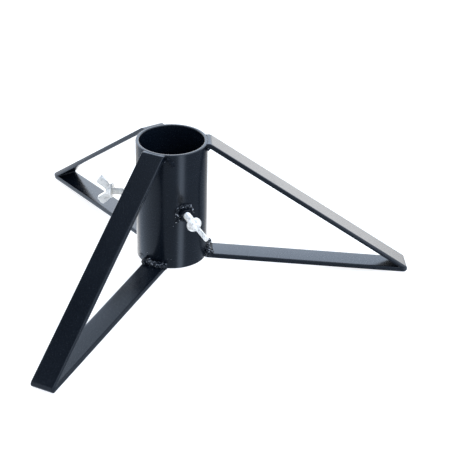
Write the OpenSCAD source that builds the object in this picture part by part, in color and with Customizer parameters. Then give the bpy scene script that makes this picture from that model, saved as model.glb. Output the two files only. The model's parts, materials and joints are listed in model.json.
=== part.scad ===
// Low three-legged steel floor stand with a pole socket and two wing screws.
// Millimetres, +Z up. The origin is on the floor, under the axis of the tube.
// One leg points along +X, and the others follow every 120 degrees.

/* [Socket tube] */
// Outside diameter of the tube
tube_od = 76.1; // [60:0.1:102]
// Wall thickness of the tube
tube_wall = 3.6; // [2:0.1:5]
// Length of the tube
tube_len = 135; // [100:1:170]
// Height of the tube's lower end above the floor
tube_lift = 23; // [16:0.1:34]
// Chamfer on the edges of the tube's ends
tube_chamfer = 0.4; // [0.1:0.1:0.8]

/* [Legs] */
// Width of the flat bar
bar_w = 25; // [16:1:32]
// Thickness of the flat bar
bar_t = 5; // [3:0.5:6]
// Distance from the tube's axis to the tip of a toe
toe_reach = 258.5; // [200:0.5:340]
// Outside radius of the fold at a toe
toe_r = 4; // [2:0.5:6]
// Distance from the tube's wall to the corner of the upper bend
tab_len = 3; // [2.4:0.1:8]
// Inside radius of the upper bend
bend_r = 1; // [0.5:0.1:2]
// Depth of a foot bar's underside below the tube's lower end
foot_drop = 2; // [0:0.1:3]

/* [Welds] */
// Radius of the bead that joins a leg to the tube
bead_r = 3; // [2:0.1:3.5]
// Length by which a bead runs past each side of the bar
bead_over = 1.5; // [0:0.1:3]
// Radius of the bead around a nut
nut_bead_r = 2.2; // [1.5:0.1:2.6]

/* [Wing screws] */
// Diameter of the thread
screw_d = 8; // [6:1:10]
// Length of the thread between the head and the tip
screw_len = 30; // [24:1:40]
// Length of the stud inside the head
screw_root = 5; // [3:0.1:5.5]
// Chamfer on the tip of the stud
screw_chamfer = 0.8; // [0.3:0.1:1.2]
// Angle from the middle of the gap between two legs to the front screw
front_skew = 10.5; // [-20:0.5:20]
// Angle from the middle of the gap between two legs to the left screw
left_skew = 13; // [-20:0.5:20]
// Distance from the bore's wall to the screw's tip when it is let out
tip_setback = 0.2; // [0.1:0.1:2]
// Angle of the wings on the front screw
wing_turn_front = 125; // [0:0.1:180]
// Angle of the wings on the left screw
wing_turn_left = 81.3; // [0:0.1:180]

/* [Nuts] */
// Width of a nut across its flats
nut_af = 13; // [12:0.5:17]
// Height of a nut above the tube's wall
nut_h = 8; // [5:0.5:10]

/* [Wing heads] */
// Diameter of the hub's collar
hub_d = 16; // [14:0.5:20]
// Thickness of the hub's collar
hub_collar = 2; // [1:0.1:3]
// Diameter of the hub where the wings grow from it
hub_waist_d = 12; // [11:0.1:14]
// Diameter of the hub's outer end
hub_end_d = 8; // [6:0.1:10]
// Length of the hub
hub_len = 7.6; // [7:0.1:10]
// Distance from the screw's axis to the tip of a wing
wing_reach = 19.5; // [16:0.1:26]
// Distance from the hub's base to the far corner of a wing
wing_rise = 18; // [14:0.1:24]
// Thickness of a wing
wing_t = 5; // [1.6:0.1:6]
// Radius of the corners of a wing
wing_corner_r = 2.4; // [1:0.1:3]

/* [Fits] */
// Clearance around a thread in its nut and in its head
thread_gap = 0.05; // [0.01:0.01:0.1]
// Clearance around a screw in the tube's wall
hole_gap = 0.5; // [0.2:0.1:1]
// Clearance between the stud's end and the bottom of its hole
end_gap = 0.1; // [0.05:0.05:0.5]

/* [Hidden] */
$fn = 96;
arc_steps = 10;
cut = 1;

coat = "#20252d";
weld_coat = "#2c323b";
zinc = "#d8dade";

// Azimuths of the legs and of the two screws
right_az = 0;
rear_az = 120;
front_az = 240;
front_screw_az = 300 - front_skew;
left_screw_az = 180 - left_skew;

tube_r = tube_od / 2;
bore_r = tube_r - tube_wall;
rim_h = tube_lift + tube_len;
screw_h = tube_lift + tube_len / 2;

// The flat bar starts inside the tube's wall, where its width still meets the round
bar_start = sqrt(tube_r * tube_r - bar_w * bar_w / 4) - cut;

// Corners and slopes of a leg's side view, as [distance from the axis, height]
foot_h = tube_lift - foot_drop;
toe_centre = [toe_reach - toe_r, toe_r];
bend_corner = [tube_r + tab_len, rim_h];
foot_corner = [tube_r, foot_h];
brace_a = angle_of(toe_centre - bend_corner) + asin(toe_r / norm(toe_centre - bend_corner));
foot_a = angle_of(toe_centre - foot_corner) - asin(toe_r / norm(toe_centre - foot_corner));
foot_top = foot_corner + bar_t * heading(foot_a + 90);

// The head sits on the stud, and the stud's tip stands just clear of the bore
tip_x = bore_r + tip_setback;
head_x = tip_x + screw_len;

// Half angle that a leg's bead covers on the tube's wall
bead_half_a = asin(min(0.9, (bar_w / 2 + bead_over) / tube_r));
bead_steps = 10;

function heading(a) = [cos(a), sin(a)];
function angle_of(v) = atan2(v.y, v.x);
function unit(v) = v / norm(v);

// Where the line through p at angle a meets the line through q at angle b
function meet(p, a, q, b) =
    let (d = heading(a), e = heading(b), w = q - p)
    p + d * (w.x * e.y - w.y * e.x) / (d.x * e.y - d.y * e.x);

// Corner p between a and b, rounded to radius r
function round_corner(a, p, b, r) =
    let (
        u = unit(a - p),
        v = unit(b - p),
        half = acos(u * v) / 2,
        centre = p + unit(u + v) * r / sin(half),
        first = angle_of(p + u * r / tan(half) - centre),
        last = angle_of(p + v * r / tan(half) - centre),
        sweep = (last - first + 540) % 360 - 180
    )
    [for (i = [0 : arc_steps]) centre + r * heading(first + sweep * i / arc_steps)];

// Outline through corners given as [point, radius]
function outline(corners) =
    let (n = len(corners))
    [
        for (i = [0 : n - 1])
        let (corner = corners[i], before = corners[(i + n - 1) % n], after = corners[(i + 1) % n])
        each corner[1] > 0 ? round_corner(before[0], corner[0], after[0], corner[1]) : [corner[0]]
    ];

// Side view of a leg: short tab, sloping brace, folded toe and foot bar
function leg_outline() =
    let (
        tab_under = [bar_start, rim_h - bar_t],
        brace_in = bend_corner + bar_t * heading(brace_a - 90),
        toe_out = meet(bend_corner, brace_a, foot_corner, foot_a),
        toe_in = meet(brace_in, brace_a, foot_top, foot_a),
        bend_in = meet(brace_in, brace_a, tab_under, 0),
        start_line = [bar_start, 0]
    )
    outline([
        [[bar_start, rim_h], 0],
        [bend_corner, bend_r + bar_t],
        [toe_out, toe_r],
        [meet(foot_corner, foot_a, start_line, 90), 0],
        [meet(foot_top, foot_a, start_line, 90), 0],
        [toe_in, 0],
        [bend_in, bend_r],
        [tab_under, 0]
    ]);

// Side view of one wing, as [distance from the hub's base, distance from the axis]
function wing_outline() =
    let (root = screw_d / 2 + thread_gap + 0.2)
    outline([
        [[hub_collar / 2, root], 0],
        [[hub_collar / 2, hub_waist_d / 2], 0],
        [[wing_rise * 0.25, wing_reach * 0.60], wing_reach * 1.5],
        [[wing_rise * 0.70, wing_reach], wing_corner_r],
        [[wing_rise, wing_reach * 0.54], wing_corner_r],
        [[hub_len, hub_end_d / 4], wing_corner_r],
        [[hub_len - 1, 0], 0]
    ]);

// The solid that the tube takes up, which every piece welded to it is cut to
module tube_space() {
    translate([0, 0, tube_lift - 10 * cut])
        cylinder(r = tube_r, h = tube_len + 20 * cut);
}

module screw_place(az) {
    rotate([0, 0, az])
        translate([0, 0, screw_h])
        rotate([0, 90, 0])
        children();
}

module tube() {
    c = tube_chamfer;
    color(coat)
    difference() {
        rotate_extrude()
            translate([0, tube_lift])
            polygon([
                [bore_r, c], [bore_r + c, 0], [tube_r - c, 0], [tube_r, c],
                [tube_r, tube_len - c], [tube_r - c, tube_len],
                [bore_r + c, tube_len], [bore_r, tube_len - c]
            ]);
        for (az = [front_screw_az, left_screw_az])
            screw_place(az)
            translate([0, 0, bore_r - tube_wall])
            cylinder(r = screw_d / 2 + hole_gap, h = 3 * tube_wall);
    }
}

// The bent bar of a leg before its ends are cut to the tube
module leg_bar(az, width) {
    rotate([90, 0, az])
        translate([0, 0, -width / 2])
        linear_extrude(width)
        polygon(leg_outline());
}

module leg(az) {
    color(coat)
    difference() {
        leg_bar(az, bar_w);
        tube_space();
    }
}

// A half-round bead along the tube's wall at height z, cut to the leg's faces
module leg_bead(az, z) {
    color(weld_coat)
    difference() {
        rotate([0, 0, az - bead_half_a])
            rotate_extrude(angle = 2 * bead_half_a)
            polygon([
                for (i = [0 : bead_steps])
                [tube_r, z] + bead_r * heading(180 * i / bead_steps - 90)
            ]);
        leg_bar(az, 3 * bar_w);
    }
}

module tab_weld(az) {
    leg_bead(az, rim_h - bar_t);
}

module foot_weld(az) {
    leg_bead(az, foot_top.y);
}

module nut_body(az) {
    screw_place(az)
        translate([0, 0, bore_r])
        rotate([0, 0, 30])
        cylinder(d = nut_af / cos(30), h = tube_wall + nut_h, $fn = 6);
}

module nut(az) {
    color(coat)
    difference() {
        nut_body(az);
        tube_space();
        screw_place(az)
            cylinder(r = screw_d / 2 + thread_gap, h = tube_od);
    }
}

module nut_weld(az) {
    color(weld_coat)
    difference() {
        screw_place(az)
            translate([0, 0, tube_r])
            rotate_extrude()
            translate([nut_af / 2 + 1, 0])
            circle(r = nut_bead_r);
        tube_space();
        nut_body(az);
    }
}

// A stud, with its thread drawn as a plain cylinder at the full diameter
module screw(az) {
    r = screw_d / 2;
    c = screw_chamfer;
    color(zinc)
    screw_place(az)
        rotate_extrude()
        polygon([
            [0, tip_x], [r - c, tip_x], [r, tip_x + c],
            [r, head_x + screw_root], [0, head_x + screw_root]
        ]);
}

// A cast head: collar, hub and two swept wings, with a blind hole for the stud
module wing(az, turn) {
    hole_r = screw_d / 2 + thread_gap;
    color(zinc)
    screw_place(az)
        translate([0, 0, head_x])
        difference() {
            union() {
                cylinder(d = hub_d, h = hub_collar);
                translate([0, 0, hub_collar])
                    cylinder(d1 = hub_waist_d, d2 = hub_end_d, h = hub_len - hub_collar);
                for (side = [0, 180])
                    rotate([0, 0, turn + side])
                    rotate([0, -90, 0])
                    translate([0, 0, -wing_t / 2])
                    linear_extrude(wing_t)
                    polygon(wing_outline());
            }
            translate([0, 0, -cut])
                cylinder(r = hole_r, h = screw_root + end_gap + cut);
        }
}

tube();
leg(right_az);  // leg_right
leg(rear_az);  // leg_rear
leg(front_az);  // leg_front
tab_weld(right_az);  // tab_weld_right
tab_weld(rear_az);  // tab_weld_rear
tab_weld(front_az);  // tab_weld_front
foot_weld(right_az);  // foot_weld_right
foot_weld(rear_az);  // foot_weld_rear
foot_weld(front_az);  // foot_weld_front
nut(front_screw_az);  // nut_front
nut(left_screw_az);  // nut_left
nut_weld(front_screw_az);  // nut_weld_front
nut_weld(left_screw_az);  // nut_weld_left
screw(front_screw_az);  // screw_front
screw(left_screw_az);  // screw_left
wing(front_screw_az, wing_turn_front);  // wing_front
wing(left_screw_az, wing_turn_left);  // wing_left
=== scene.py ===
"""Low tripod stand: a powder-coated socket tube on three folded legs, with two zinc wing screws.

Everything is in metres, in the frame of the CAD model: the origin is on the floor under the tube's
axis, +Z is up and the right leg points along +X.
"""

import json
import math
import random

import bmesh
import bpy
from mathutils import Matrix, Vector, noise


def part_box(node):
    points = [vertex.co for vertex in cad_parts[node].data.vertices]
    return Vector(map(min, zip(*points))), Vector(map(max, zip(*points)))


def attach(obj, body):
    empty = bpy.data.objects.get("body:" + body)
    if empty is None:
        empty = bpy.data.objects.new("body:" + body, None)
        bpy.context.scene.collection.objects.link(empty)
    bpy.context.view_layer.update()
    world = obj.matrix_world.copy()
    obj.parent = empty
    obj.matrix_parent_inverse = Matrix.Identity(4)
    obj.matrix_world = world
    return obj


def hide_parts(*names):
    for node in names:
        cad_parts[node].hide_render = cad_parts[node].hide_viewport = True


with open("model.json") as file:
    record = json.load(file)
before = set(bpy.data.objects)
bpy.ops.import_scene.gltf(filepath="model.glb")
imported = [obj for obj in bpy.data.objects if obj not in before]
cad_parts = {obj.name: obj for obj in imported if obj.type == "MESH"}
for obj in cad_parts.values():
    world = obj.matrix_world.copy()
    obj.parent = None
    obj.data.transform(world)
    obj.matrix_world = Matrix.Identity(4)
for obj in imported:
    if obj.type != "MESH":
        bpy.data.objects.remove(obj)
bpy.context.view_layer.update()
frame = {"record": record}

MM = 0.001


# ---------------------------------------------------------------------------
# Sizes: what the frame holds is read from it, and the rest is named here
# ---------------------------------------------------------------------------

RECORD = frame["record"]
MOUNTS = {m["name"]: m for m in RECORD["mounts"]}
JOINTS = {j["name"]: j for j in RECORD["behaviour"]["joints"]}

TUBE_LOW, TUBE_HIGH = (Vector(c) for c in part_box("tube"))
LEG_LOW, LEG_HIGH = (Vector(c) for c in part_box("leg_right"))

TUBE_R = TUBE_HIGH.x
BORE_R = MOUNTS["socket"]["dims"]["r_mm"] * MM
RIM_H = TUBE_HIGH.z
TUBE_LIFT = TUBE_LOW.z
TUBE_EDGE_R = 0.7 * MM

BAR_W = LEG_HIGH.y - LEG_LOW.y
BAR_T = 5 * MM
BAR_EDGE_R = 1.0 * MM
TOE_REACH = LEG_HIGH.x
TOE_R = 4 * MM
TAB_LEN = 3 * MM
BEND_R = 1 * MM
FOOT_DROP = 2 * MM
LEG_AZIMUTHS = {"right": 0, "rear": 120, "front": 240}

SCREW_R = 4 * MM
SCREW_PITCH = 1.25 * MM
SCREW_LEN = 30 * MM
SCREW_ROOT = 5 * MM
THREAD_DEPTH = 0.62 * MM
THREAD_GAP = 0.05 * MM
HOLE_R = SCREW_R + 0.5 * MM

NUT_AF = 13 * MM
NUT_H = 8 * MM
NUT_CHAMFER = 30

HUB_R = 8 * MM
HUB_COLLAR = 2 * MM
HUB_WAIST_R = 6 * MM
HUB_END_R = 4 * MM
HUB_LEN = 7.6 * MM
WING_REACH = 19.5 * MM
WING_RISE = 18 * MM
WING_T = 5 * MM
WING_EDGE_R = 1.6 * MM
WING_CORNER_R = 2.4 * MM
WING_TURNS = {"front": 125, "left": 81.3}

BEAD_OVERHANG = 1.5 * MM
BEAD_GRID = 0.25 * MM
SCALE_PITCH = 2.2 * MM
TAB_BEAD_R = 2.6 * MM
TAB_TAIL_R = 2.4 * MM
FOOT_BEAD_R = 4.2 * MM
FOOT_BLOB_R = 3 * MM
NUT_BEAD_R = 2.7 * MM
NUT_TAIL_R = 2 * MM
TAB_BEAD_OFF = 0.4 * MM
FOOT_BEAD_OFF = 1.6 * MM
BEAD_SIDES = 36
WELD_SHARP = 80


# ---------------------------------------------------------------------------
# Plane geometry for outlines
# ---------------------------------------------------------------------------

def heading(angle):
    return Vector((math.cos(angle), math.sin(angle)))


def angle_of(v):
    return math.atan2(v.y, v.x)


def meet(p, a, q, b):
    """Where the line through p at angle a meets the line through q at angle b."""
    d, e, w = heading(a), heading(b), q - p
    return p + d * (w.x * e.y - w.y * e.x) / (d.x * e.y - d.y * e.x)


def rounded(corners, steps):
    """The outline through (point, radius) corners, each round one an arc of so many steps."""
    points = []
    for i, (corner, radius) in enumerate(corners):
        if not radius:
            points.append(corner)
            continue
        u = (corners[i - 1][0] - corner).normalized()
        v = (corners[(i + 1) % len(corners)][0] - corner).normalized()
        half = u.angle(v) / 2
        centre = corner + (u + v).normalized() * radius / math.sin(half)
        first = angle_of(corner + u * radius / math.tan(half) - centre)
        last = angle_of(corner + v * radius / math.tan(half) - centre)
        sweep = (last - first + 3 * math.pi) % (2 * math.pi) - math.pi
        points += [centre + radius * heading(first + sweep * k / steps) for k in range(steps + 1)]
    return points


# ---------------------------------------------------------------------------
# Making pieces
# ---------------------------------------------------------------------------

def finish_piece(name, bm, body, material, nodes, sharp_angle=40):
    """Turns a bmesh into a smooth-shaded piece that stands for CAD nodes and rides on a body."""
    bmesh.ops.recalc_face_normals(bm, faces=bm.faces)
    mesh = bpy.data.meshes.new(name)
    bm.to_mesh(mesh)
    bm.free()
    mesh.shade_smooth()
    mesh.set_sharp_from_angle(angle=math.radians(sharp_angle))
    mesh.materials.append(material)
    piece = bpy.data.objects.new(name, mesh)
    bpy.context.scene.collection.objects.link(piece)
    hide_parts(*nodes)
    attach(piece, body)
    return piece


def bevel_sharp(bm, radius, over_angle, segments=3, where=None):
    """Rounds the edges that turn by more than over_angle degrees."""
    edges = [
        e for e in bm.edges
        if len(e.link_faces) == 2
        and e.calc_face_angle(0) > math.radians(over_angle)
        and (where is None or where(e))
    ]
    bmesh.ops.bevel(
        bm, geom=edges, offset=radius, offset_type="OFFSET", affect="EDGES",
        segments=segments, profile=0.5, material=-1, clamp_overlap=True,
    )


def wrapped_grid(bm, rows, around, place):
    """A grid whose points go to place(u, v), u and v from 0 to 1, with its seams merged."""
    made = bmesh.ops.create_grid(bm, x_segments=rows, y_segments=around, size=0.5)
    for v in made["verts"]:
        v.co = place(v.co.x + 0.5, v.co.y + 0.5)
    bmesh.ops.remove_doubles(bm, verts=made["verts"], dist=0.01 * MM)


def rings(bm, loops):
    """Bridges closed loops of points, one after the other, and the last to the first."""
    edges = []
    for loop in loops:
        ring = bmesh.ops.create_circle(bm, segments=len(loop), radius=1)["verts"]
        for v, co in zip(ring, loop):
            v.co = co
        edges.append([e for v in ring for e in v.link_edges if v == e.verts[0]])
    for this, following in zip(edges, edges[1:] + edges[:1]):
        bmesh.ops.bridge_loops(bm, edges=this + following)


def screw_place(side):
    """A screw's place: it starts on the tube's axis, and its own +Z points out of the tube."""
    joint = JOINTS[f"{side}_screw_turn"]
    outward = -Vector(joint["axis"])
    azimuth = math.atan2(outward.y, outward.x)
    height = Matrix.Translation((0, 0, joint["pos_m"][2]))
    return Matrix.Rotation(azimuth, 4, "Z") @ height @ Matrix.Rotation(math.pi / 2, 4, "Y")


def head_x(side):
    """Distance from the tube's axis to the base of a wing head."""
    return Vector(JOINTS[f"{side}_screw_turn"]["pos_m"][:2]).length


# ---------------------------------------------------------------------------
# Materials
# ---------------------------------------------------------------------------

class Value:
    """A number on a socket of a shader, with the arithmetic that adds Math nodes."""

    def __init__(self, shader, socket):
        self.shader, self.socket = shader, socket

    def math(self, operation, *inputs):
        return self.shader.node("ShaderNodeMath", {"operation": operation}, *inputs)

    def __add__(self, other):
        return self.math("ADD", self, other)

    def __sub__(self, other):
        return self.math("SUBTRACT", self, other)

    def __rsub__(self, other):
        return self.math("SUBTRACT", other, self)

    def __mul__(self, other):
        return self.math("MULTIPLY", self, other)

    __radd__, __rmul__ = __add__, __mul__


class Shader:
    """The node tree of one material or of the world."""

    def __init__(self, owner):
        owner.use_nodes = True
        self.owner, self.tree = owner, owner.node_tree
        self.tree.nodes.clear()

    def node(self, kind, settings=None, *inputs, out=0, **named):
        """Adds a node, sets it, feeds its sockets by place or by name, and returns an output."""
        made = self.tree.nodes.new(kind)
        for key, value in (settings or {}).items():
            if key == "stops":
                ramp = made.color_ramp
                for spot, (at, colour) in zip((ramp.elements[0], ramp.elements[1]), value):
                    spot.position, spot.color = at, colour
                for at, colour in value[2:]:
                    ramp.elements.new(at).color = colour
            else:
                setattr(made, key, value)
        sockets = [*enumerate(inputs), *((k.replace("_", " "), v) for k, v in named.items())]
        for key, value in sockets:
            if isinstance(value, Value):
                self.tree.links.new(value.socket, made.inputs[key])
            elif value is not None:
                made.inputs[key].default_value = value
        return Value(self, made.outputs[out]) if made.outputs else made

    def place(self, scale=(1, 1, 1)):
        """The point on the object, in metres, stretched by scale."""
        point = self.node("ShaderNodeTexCoord", out="Object")
        return self.node("ShaderNodeMapping", None, Vector=point, Scale=scale)

    def noise(self, point, scale, detail=2.0, roughness=0.5):
        return self.node(
            "ShaderNodeTexNoise", None,
            Vector=point, Scale=scale, Detail=detail, Roughness=roughness,
        )

    def mask(self, value, low, high):
        """0 where value is under low and 1 where it is over high."""
        return self.node(
            "ShaderNodeMapRange", {"interpolation_type": "SMOOTHSTEP"},
            Value=value, From_Min=low, From_Max=high,
        )

    def blend(self, factor, first, second):
        """Goes from the first colour to the second as factor goes from 0 to 1."""
        unused = [None] * 5
        inputs = (factor, *unused, first, second)
        return self.node("ShaderNodeMix", {"data_type": "RGBA"}, *inputs, out=2)

    def bump(self, height, distance, strength=1.0, under=None):
        inputs = {"Height": height, "Distance": distance, "Strength": strength}
        if under is not None:
            inputs["Normal"] = under
        return self.node("ShaderNodeBump", None, **inputs)

    def principled(self, **sockets):
        surface = self.node("ShaderNodeBsdfPrincipled", None, **sockets)
        self.node("ShaderNodeOutputMaterial", None, Surface=surface)
        return self.owner


def colour(r, g, b):
    return (r, g, b, 1.0)


def powder_coat(name, peel=1.0, shine=0.5, chip_and_glint_share=0.0):
    """Black powder coat with orange peel, faint clouding, fine pits, dull rubs, and light grey
    specks that are painted highlights and bare chips.
    """
    s = Shader(bpy.data.materials.new(name))
    point = s.place()
    clouds = s.noise(point, 26, detail=4, roughness=0.6)
    grain = s.noise(point, 620, detail=2)
    pits = s.mask(s.noise(point, 1500, detail=1), 0.62, 0.72)
    rubs = s.mask(s.noise(s.place((1, 1, 3)), 55, detail=6, roughness=0.7), 0.56, 0.72)
    base = s.blend(clouds, colour(0.0022, 0.0038, 0.0066), colour(0.0034, 0.0058, 0.0100))
    base = s.blend(0.3 * rubs, base, colour(0.010, 0.013, 0.018))
    chip_and_glint_specks = 0
    # Light grey specks in the base colour: painted highlights that stand for glints on the crusty
    # weld, and bare chips in the coat.
    if chip_and_glint_share:
        chip_and_glint_specks = chip_and_glint_share * s.mask(s.noise(point, 430, detail=4, roughness=0.65), 0.58, 0.64)
        base = s.blend(chip_and_glint_specks, base, colour(0.52, 0.53, 0.56))
    return s.principled(
        Base_Color=base,
        Roughness=0.16 + 0.08 * clouds + 0.08 * rubs + 0.12 * pits + 0.15 * chip_and_glint_specks,
        Normal=s.bump(grain - 0.5 * pits, 0.035 * MM * peel, 0.55),
        IOR=1.5,
        Specular_IOR_Level=shine,
    )


def bright_zinc(name, metal, rough, cast, dirt):
    """Zinc plating: a pale metal with cloudy gloss, a faint cast skin and dark specks of dirt."""
    s = Shader(bpy.data.materials.new(name))
    point = s.place()
    clouds = s.noise(point, 160, detail=4, roughness=0.6)
    skin = s.noise(point, 700, detail=3)
    specks = s.mask(s.noise(point, 620, detail=3, roughness=0.6), 0.55, 0.63)
    base = s.blend(clouds, colour(0.88, 0.84, 0.78), colour(0.98, 0.94, 0.87))
    base = s.blend(dirt * specks, base, colour(0.13, 0.12, 0.10))
    return s.principled(
        Base_Color=base,
        Metallic=metal,
        Roughness=rough + 0.12 * clouds + 0.15 * specks,
        Normal=s.bump(skin, 0.03 * MM * cast, 0.5),
    )


COAT = powder_coat("black_powder_coat")
# The weld beads get many light grey specks: painted highlights for their glints, and bare chips.
WELD_COAT = powder_coat("weld_powder_coat", peel=1.6, shine=0.3, chip_and_glint_share=0.9)
DULL_COAT = powder_coat("dull_powder_coat", peel=1.6, shine=0.15, chip_and_glint_share=0.15)
ZINC_THREAD = bright_zinc("zinc_thread", 0.30, 0.14, 0.6, 0.15)
ZINC_CAST = bright_zinc("zinc_cast", 0.30, 0.18, 1.6, 0.70)


# ---------------------------------------------------------------------------
# Tube
# ---------------------------------------------------------------------------

def socket_tube():
    """The tube, open at both ends, with rounded rims and a hole for each screw."""
    bm = bmesh.new()
    profile = ((BORE_R, TUBE_LIFT), (TUBE_R, TUBE_LIFT), (TUBE_R, RIM_H), (BORE_R, RIM_H))
    corners = [bm.verts.new((r, 0, z)) for r, z in profile]
    sides = [bm.edges.new((corners[i - 1], corners[i])) for i in range(4)]
    bmesh.ops.spin(
        bm, geom=corners + sides, cent=(0, 0, 0), axis=(0, 0, 1),
        angle=2 * math.pi, steps=192, use_merge=True,
    )
    bmesh.ops.recalc_face_normals(bm, faces=bm.faces)
    bevel_sharp(bm, TUBE_EDGE_R, 60)
    hole_h = JOINTS["front_screw_turn"]["pos_m"][2]
    for offset in (-12 * MM, -6 * MM, 6 * MM, 12 * MM):
        bmesh.ops.bisect_plane(
            bm, geom=[*bm.verts, *bm.edges, *bm.faces],
            plane_co=(0, 0, hole_h + offset), plane_no=(0, 0, 1),
        )
    piece = finish_piece("socket_tube", bm, "frame", COAT, ["tube"])
    for side in WING_TURNS:
        drill(piece, side)
    return piece


def drill(piece, side):
    """Cuts a screw's hole through the wall."""
    bm = bmesh.new()
    bmesh.ops.create_cone(
        bm, cap_ends=True, segments=48, radius1=HOLE_R,
        radius2=HOLE_R, depth=4 * (TUBE_R - BORE_R),
        matrix=screw_place(side) @ Matrix.Translation((0, 0, (BORE_R + TUBE_R) / 2)),
    )
    mesh = bpy.data.meshes.new("drill")
    bm.to_mesh(mesh)
    bm.free()
    cutter = bpy.data.objects.new("drill", mesh)
    bpy.context.scene.collection.objects.link(cutter)
    cut = piece.modifiers.new("hole", "BOOLEAN")
    cut.operation, cut.solver, cut.object = "DIFFERENCE", "EXACT", cutter
    apply_modifiers(piece)
    bpy.data.objects.remove(cutter)


def apply_modifiers(piece):
    """Keeps what the modifiers make as the piece's own mesh."""
    depsgraph = bpy.context.evaluated_depsgraph_get()
    shape = bpy.data.meshes.new_from_object(piece.evaluated_get(depsgraph))
    piece.modifiers.clear()
    old, piece.data = piece.data, shape
    bpy.data.meshes.remove(old)


# ---------------------------------------------------------------------------
# Legs
# ---------------------------------------------------------------------------

def leg_side_view():
    """The outline of a bent bar, and the height of a foot bar's top at the tube."""
    start = math.sqrt(TUBE_R ** 2 - BAR_W ** 2 / 4) - MM
    toe_centre = Vector((TOE_REACH - TOE_R, TOE_R))
    bend = Vector((TUBE_R + TAB_LEN, RIM_H))
    foot = Vector((TUBE_R, TUBE_LIFT - FOOT_DROP))
    to_toe, foot_to_toe = toe_centre - bend, toe_centre - foot
    brace_a = angle_of(to_toe) + math.asin(TOE_R / to_toe.length)
    foot_a = angle_of(foot_to_toe) - math.asin(TOE_R / foot_to_toe.length)
    foot_top = foot + BAR_T * heading(foot_a + math.pi / 2)
    brace_in = bend + BAR_T * heading(brace_a - math.pi / 2)
    tab_under = Vector((start, RIM_H - BAR_T))
    upright = Vector((start, 0))
    outline = rounded([
        (Vector((start, RIM_H)), 0),
        (bend, BEND_R + BAR_T),
        (meet(bend, brace_a, foot, foot_a), TOE_R),
        (meet(foot, foot_a, upright, math.pi / 2), 0),
        (meet(foot_top, foot_a, upright, math.pi / 2), 0),
        (meet(brace_in, brace_a, foot_top, foot_a), 0.5 * MM),
        (meet(brace_in, brace_a, tab_under, 0), BEND_R),
        (tab_under, 0),
    ], steps=12)
    return outline, start, foot_top.y


def leg(side):
    """One flat bar: tab, brace, folded toe and foot bar, with its ends cut to the tube."""
    strips = 12
    outline, start, _ = leg_side_view()
    bm = bmesh.new()
    cap = bm.faces.new([bm.verts.new((p.x, -BAR_W / 2, p.y)) for p in outline])
    for _ in range(strips):
        made = bmesh.ops.extrude_face_region(bm, geom=[cap])["geom"]
        cap = next(g for g in made if isinstance(g, bmesh.types.BMFace))
        bmesh.ops.translate(bm, vec=(0, BAR_W / strips, 0), verts=cap.verts)
    for v in bm.verts:
        if v.co.x < start + 0.1 * MM:
            v.co.x = math.sqrt(TUBE_R ** 2 - v.co.y ** 2)
    bmesh.ops.recalc_face_normals(bm, faces=bm.faces)
    bevel_sharp(
        bm, BAR_EDGE_R, 35,
        where=lambda e: max(v.co.x for v in e.verts) > TUBE_R + 0.2 * MM,
    )
    bmesh.ops.rotate(
        bm, verts=bm.verts, cent=(0, 0, 0),
        matrix=Matrix.Rotation(math.radians(LEG_AZIMUTHS[side]), 3, "Z"),
    )
    name = f"leg_{side}"
    return finish_piece(f"{name}_bar", bm, "frame", COAT, [name], 30)


# ---------------------------------------------------------------------------
# Welds
# ---------------------------------------------------------------------------

def crust(place, along, across, seed):
    """Thickness of a weld at a point, as a share of its radius: scales, lumps and sharp creases."""
    at = place + Vector((seed * 0.71, seed * 0.33, seed * 0.17))
    scale = abs(math.sin(math.pi * (along / SCALE_PITCH + 0.4 * math.cos(across)))) ** 0.6
    lumps = noise.noise(at * 230)
    creases = abs(noise.noise(at * 520)) + 0.5 * abs(noise.noise(at * 1150))
    return 0.62 + 0.14 * scale + 0.42 * lumps + 0.62 * creases


def bead(bm, path, outward, radius, seed, closed=False, place=Matrix.Identity(4)):
    """A run of weld along path(u), u from 0 to 1, with outward(u) square to it and tapered ends."""
    step = 0.001
    length = sum((path((i + 1) / 20) - path(i / 20)).length for i in range(20))
    rows = int(length / BEAD_GRID)

    def point(u, v):
        out = outward(u)
        along = (path(u + step) - path(u - step)).normalized()
        aside = along.cross(out)
        around = 2 * math.pi * v
        normal = out * math.cos(around) + aside * math.sin(around)
        size = radius * crust(path(u) + normal * radius, u * length, around, seed)
        if not closed:
            size *= math.sqrt(max(0.0, 1 - abs(2 * u - 1) ** 6))
        return place @ (path(u) + normal * size)

    wrapped_grid(bm, rows, BEAD_SIDES, point)


def round_tube(angle):
    """The level direction at an angle about the tube's axis."""
    return Vector((math.cos(angle), math.sin(angle), 0))


def tube_bead(bm, start, end, radius, seed):
    """A weaving bead on the tube's wall between two points (angle, height, distance off it)."""
    def mix(u):
        return [a + (b - a) * u for a, b in zip(start, end)]

    def path(u):
        angle, height, off = mix(u)
        weave = 0.5 * radius * noise.noise(Vector((3.0 * u * (1 + radius / MM), seed, 0.5)))
        return round_tube(angle) * (TUBE_R + off + 0.5 * weave) + Vector((0, 0, height + weave))

    bead(bm, path, lambda u: round_tube(mix(u)[0]), radius, seed)


def spatter(bm, angle, height, spread, count, seed):
    """Beads of spatter on the tube's wall around a weld."""
    chance = random.Random(seed)
    for _ in range(count):
        a = angle + chance.gauss(0, spread) / TUBE_R
        z = height + chance.gauss(0, spread)
        radius = chance.uniform(0.25, 0.75) * MM
        spot = round_tube(a) * (TUBE_R + 0.2 * radius) + Vector((0, 0, z))
        if TUBE_LIFT + MM < z < RIM_H - MM:
            place = Matrix.Translation(spot)
            bmesh.ops.create_icosphere(bm, subdivisions=2, radius=radius, matrix=place)


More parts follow.
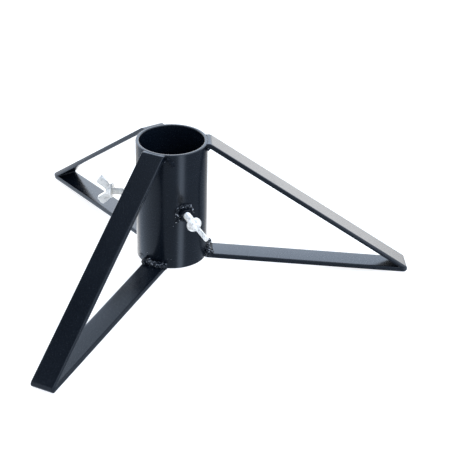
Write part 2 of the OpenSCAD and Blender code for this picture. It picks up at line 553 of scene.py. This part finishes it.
def leg_welds(side):
    """A leg's beads: one under the tab, with a tail, and one on the foot bar, with a blob."""
    _, _, foot_top = leg_side_view()
    middle = math.radians(LEG_AZIMUTHS[side])
    half = math.asin((BAR_W / 2 + BEAD_OVERHANG) / TUBE_R)
    seed = 1 + list(LEG_AZIMUTHS).index(side)
    under = RIM_H - BAR_T - 1.2 * MM

    bm = bmesh.new()
    start, end = (middle - half, under, TAB_BEAD_OFF), (middle + half, under, TAB_BEAD_OFF)
    tube_bead(bm, start, end, TAB_BEAD_R, seed)
    start = (middle + half - 0.02, RIM_H - 2.5 * MM, TAB_BEAD_OFF)
    end = (middle + half + 8 * MM / TUBE_R, RIM_H - 12 * MM, TAB_BEAD_OFF)
    tube_bead(bm, start, end, TAB_TAIL_R, seed + 3)
    nodes = [f"tab_weld_{side}"]
    finish_piece(f"tab_bead_{side}", bm, "frame", DULL_COAT, nodes, WELD_SHARP)

    bm = bmesh.new()
    top = foot_top + 0.6 * MM
    start, end = (middle - half, top, FOOT_BEAD_OFF), (middle + half, top, FOOT_BEAD_OFF)
    tube_bead(bm, start, end, FOOT_BEAD_R, seed + 5)
    start, end = (middle - half, top, 0.5 * MM), (middle - half + 0.16, top, 6.5 * MM)
    tube_bead(bm, start, end, FOOT_BLOB_R, seed + 7)
    spatter(bm, middle + half, top + 2 * MM, 5 * MM, 9, seed)
    spatter(bm, middle - half, top + 2 * MM, 5 * MM, 9, seed + 40)
    nodes = [f"foot_weld_{side}"]
    finish_piece(f"foot_bead_{side}", bm, "frame", WELD_COAT, nodes, WELD_SHARP)


def nut_weld(side):
    """The bead around a nut, with a short tail down the wall."""
    seed = 11 + len(side)
    place = screw_place(side)
    ring_r = NUT_AF / 2 + 1.2 * MM

    def across(u):
        return round_tube(2 * math.pi * u)

    def ring(u):
        flat = across(u) * ring_r
        return flat + Vector((0, 0, math.sqrt(TUBE_R ** 2 - flat.y ** 2) + 0.1 * MM))

    bm = bmesh.new()
    bead(bm, ring, across, NUT_BEAD_R, seed, closed=True, place=place)
    outward = -Vector(JOINTS[f"{side}_screw_turn"]["axis"])
    middle = math.atan2(outward.y, outward.x)
    height = JOINTS[f"{side}_screw_turn"]["pos_m"][2]
    start = (middle - 5 * MM / TUBE_R, height - 6 * MM, 0)
    end = (middle - 9.5 * MM / TUBE_R, height - 12 * MM, 0)
    tube_bead(bm, start, end, NUT_TAIL_R, seed + 2)
    spatter(bm, middle, height, 8 * MM, 14, seed)
    nodes = [f"nut_weld_{side}"]
    finish_piece(f"nut_bead_{side}", bm, "frame", WELD_COAT, nodes, WELD_SHARP)


# ---------------------------------------------------------------------------
# Nuts, studs and wing heads
# ---------------------------------------------------------------------------

def hex_nut(side):
    """A hex nut with its outer corners chamfered, welded to the tube."""
    around = 96
    face_r = 0.95 * NUT_AF / 2
    top = TUBE_R + NUT_H
    base = TUBE_R - MM
    slope = math.tan(math.radians(NUT_CHAMFER))
    hole_r = SCREW_R + THREAD_GAP
    place = screw_place(side)

    def hexagon(a):
        turned = (a - math.pi / 6) % (math.pi / 3) - math.pi / 6
        return NUT_AF / 2 / math.cos(turned)

    def ring(z, radius):
        turns = [2 * math.pi * (i + 0.5) / around for i in range(around)]
        return [place @ (round_tube(a) * radius(a) + Vector((0, 0, z))) for a in turns]

    loops = [ring(base, hexagon)]
    for depth in (1.1, 0.75, 0.6, 0.45, 0.3, 0.15, 0):
        z = top - depth * MM
        loops.append(ring(z, lambda a: min(hexagon(a), face_r + (top - z) / slope)))
    loops.append(ring(top, lambda a: hole_r + 0.6 * MM))
    loops.append(ring(top - 0.5 * MM, lambda a: hole_r))
    loops.append(ring(base, lambda a: hole_r))
    bm = bmesh.new()
    rings(bm, loops)
    finish_piece(f"hex_nut_{side}", bm, "frame", DULL_COAT, [f"nut_{side}"], 22)


def stud(side):
    """The threaded stud, with its true helix and a chamfered tip."""
    low = head_x(side) - SCREW_LEN
    high = head_x(side) + SCREW_ROOT
    place = screw_place(side)
    rows = int((high - low) / SCREW_PITCH * 10)

    def point(u, v):
        x = low + u * (high - low)
        a = 2 * math.pi * v
        phase = (x / SCREW_PITCH - v) % 1
        crest = 1 - abs(2 * phase - 1)
        depth = THREAD_DEPTH * min(1, max(0, 1.25 * crest - 0.12))
        radius = min(SCREW_R - depth, SCREW_R - 0.9 * MM + (x - low))
        return place @ Vector((radius * math.cos(a), radius * math.sin(a), x))

    bm = bmesh.new()
    wrapped_grid(bm, rows, 48, point)
    bmesh.ops.holes_fill(bm, edges=[e for e in bm.edges if e.is_boundary])
    nodes = [f"screw_{side}"]
    finish_piece(
        f"threaded_stud_{side}", bm, f"{side}_stud", ZINC_THREAD, nodes, 50,
    )


def wing_side_view():
    root = SCREW_R + 0.25 * MM
    return rounded([
        (Vector((HUB_COLLAR / 2, root)), 0),
        (Vector((HUB_COLLAR / 2, HUB_WAIST_R)), 0),
        (Vector((WING_RISE * 0.25, WING_REACH * 0.60)), WING_REACH * 1.5),
        (Vector((WING_RISE * 0.70, WING_REACH)), WING_CORNER_R),
        (Vector((WING_RISE, WING_REACH * 0.54)), WING_CORNER_R),
        (Vector((HUB_LEN, HUB_END_R / 2)), WING_CORNER_R),
        (Vector((HUB_LEN - MM, 0)), 0),
    ], steps=10)


def wing_mesh(angle):
    """One wing as a mesh of its own, turned by angle about the stud's axis."""
    bm = bmesh.new()
    face = bm.faces.new([bm.verts.new((-WING_T / 2, p.y, p.x)) for p in wing_side_view()])
    made = bmesh.ops.extrude_face_region(bm, geom=[face])["geom"]
    far = [g for g in made if isinstance(g, bmesh.types.BMVert)]
    bmesh.ops.translate(bm, vec=(WING_T, 0, 0), verts=far)
    bmesh.ops.recalc_face_normals(bm, faces=bm.faces)
    bevel_sharp(bm, WING_EDGE_R, 69, segments=4)
    turned = Matrix.Rotation(angle, 3, "Z")
    bmesh.ops.rotate(bm, verts=bm.verts, cent=(0, 0, 0), matrix=turned)
    mesh = bpy.data.meshes.new("wing")
    bm.to_mesh(mesh)
    bm.free()
    return mesh


def wing_head(side):
    """A cast head: collar, tapered hub and two swept wings, blended into one skin."""
    bm = bmesh.new()
    profile = (
        (0, 0), (HUB_R - 0.5 * MM, 0), (HUB_R, 0.5 * MM), (HUB_R, HUB_COLLAR - 0.5 * MM),
        (HUB_R - 0.5 * MM, HUB_COLLAR), (HUB_WAIST_R, HUB_COLLAR + 0.2 * MM),
        (HUB_END_R, HUB_LEN - 0.6 * MM), (HUB_END_R - 0.6 * MM, HUB_LEN),
        (1.8 * MM, HUB_LEN), (1.4 * MM, HUB_LEN - 0.7 * MM), (0, HUB_LEN - 0.8 * MM),
    )
    chain = [bm.verts.new((r, 0, z)) for r, z in profile]
    links = [bm.edges.new(pair) for pair in zip(chain, chain[1:])]
    bmesh.ops.spin(
        bm, geom=chain + links, cent=(0, 0, 0), axis=(0, 0, 1),
        angle=2 * math.pi, steps=96, use_merge=True,
    )
    for turn in (0, math.pi):
        wing = wing_mesh(math.radians(WING_TURNS[side]) + turn)
        bm.from_mesh(wing)
        bpy.data.meshes.remove(wing)
    bmesh.ops.remove_doubles(bm, verts=bm.verts, dist=0.001 * MM)
    place = screw_place(side) @ Matrix.Translation((0, 0, head_x(side)))
    bmesh.ops.transform(bm, matrix=place, verts=bm.verts)
    piece = finish_piece(
        f"wing_head_{side}", bm, f"{side}_head", ZINC_CAST, [f"wing_{side}"], 180,
    )
    skin = piece.modifiers.new("skin", "REMESH")
    skin.mode, skin.voxel_size, skin.use_smooth_shade = "VOXEL", 0.3 * MM, True
    soften = piece.modifiers.new("soften", "SMOOTH")
    soften.factor, soften.iterations = 0.5, 6
    apply_modifiers(piece)
    return piece


# ---------------------------------------------------------------------------
# Floor, light and camera
# ---------------------------------------------------------------------------

def floor():
    bm = bmesh.new()
    bmesh.ops.create_grid(bm, x_segments=1, y_segments=1, size=6)
    mesh = bpy.data.meshes.new("studio_floor")
    bm.to_mesh(mesh)
    bm.free()
    s = Shader(bpy.data.materials.new("studio_floor"))
    mesh.materials.append(s.principled(
        Base_Color=colour(0.55, 0.55, 0.55), Roughness=0.9, Specular_IOR_Level=0.1,
        Emission_Color=colour(1, 1, 1), Emission_Strength=0.80,
    ))
    piece = bpy.data.objects.new("studio_floor", mesh)
    bpy.context.scene.collection.objects.link(piece)
    piece.visible_glossy = False


def studio_light():
    """A white cove behind, a dim ceiling, a key light to the right and bands near the floor."""
    world = bpy.data.worlds.new("studio")
    bpy.context.scene.world = world
    s = Shader(world)
    way = s.node("ShaderNodeTexCoord", out="Generated")
    across, deep, up = (s.node("ShaderNodeSeparateXYZ", None, way, out=axis) for axis in "XYZ")

    def ramp(at, *levels):
        """A brightness that goes through (place, level) pairs, in tenths of the level."""
        stops = [(place, (level / 10, level / 10, level / 10, 1)) for place, level in levels]
        return 10 * s.node("ShaderNodeValToRGB", {"stops": stops}, at)

    angle = s.node("ShaderNodeMath", {"operation": "ARCTAN2"}, across, 0 - deep)
    turn = angle * (0.5 / math.pi) + 0.5
    behind = ramp(
        up,
        (0.0, 3.6), (0.11, 3.5), (0.34, 2.6), (0.42, 4.0), (0.50, 3.9), (0.63, 1.3),
        (0.75, 0.25), (0.83, 0.03), (0.86, 0.15), (0.89, 0.60),
    )
    before = ramp(
        up, (0.0, 0.8), (0.45, 1.1), (0.66, 0.6), (0.82, 0.03), (0.86, 0.15), (0.89, 0.60),
    )
    key_side = s.mask(across, 0.10, 0.35) * s.mask(deep, 0.25, -0.05)
    key = key_side * s.mask(up, 0.28, 0.42) * s.mask(up, 0.95, 0.85)
    below = ramp(
        turn,
        (0.00, 3.2), (0.06, 1.5), (0.21, 1.0), (0.32, 0.70), (0.40, 0.42), (0.545, 0.42),
        (0.570, 2.7), (0.592, 2.7), (0.617, 0.45), (0.76, 0.38), (0.82, 0.40), (0.91, 0.95),
        (0.95, 1.8), (1.00, 3.2),
    )
    back_share = s.mask(deep, -0.15, 0.45)
    over = s.mask(up, -0.12, 0.03)
    above = before + (behind - before) * back_share + 3.4 * key
    strength = below + (above - below) * over
    seen = s.node("ShaderNodeLightPath", out="Is Camera Ray")
    pale = s.mask(deep, 0.45, 0.75)
    pale = (pale + (back_share - pale) * over) * s.mask(up, 0.42, 0.24)
    tint = s.blend(pale, colour(0.68, 0.81, 1.0), colour(0.97, 0.98, 1.0))
    light = s.node("ShaderNodeBackground", None, Color=tint, Strength=strength)
    plain = s.node("ShaderNodeBackground", None, Color=colour(1, 1, 1), Strength=1.0)
    both = s.node("ShaderNodeMixShader", None, seen, light, plain)
    s.node("ShaderNodeOutputWorld", None, Surface=both)


def camera():
    """A long lens, looking down on the stand from the front, rolled by a degree."""
    target = Vector((0.05733, -0.0034, 0.05638))
    back = Vector((-0.05151, -0.86791, 0.49404))
    distance, roll = 1.56074, math.radians(1.105)
    data = bpy.data.cameras.new("camera")
    data.lens, data.sensor_width = 115.575, 36
    data.clip_start, data.clip_end = 0.05, 50
    eye = bpy.data.objects.new("camera", data)
    eye.location = target + back * distance
    turned = back.to_track_quat("Z", "Y").to_matrix() @ Matrix.Rotation(roll, 3, "Z")
    eye.rotation_euler = turned.to_euler()
    bpy.context.scene.collection.objects.link(eye)
    bpy.context.scene.camera = eye


camera()
socket_tube()
for leg_side in LEG_AZIMUTHS:
    leg(leg_side)
    leg_welds(leg_side)
for screw_side in WING_TURNS:
    hex_nut(screw_side)
    nut_weld(screw_side)
    stud(screw_side)
    wing_head(screw_side)
floor()
studio_light()
bpy.context.scene.view_settings.view_transform = "Standard"
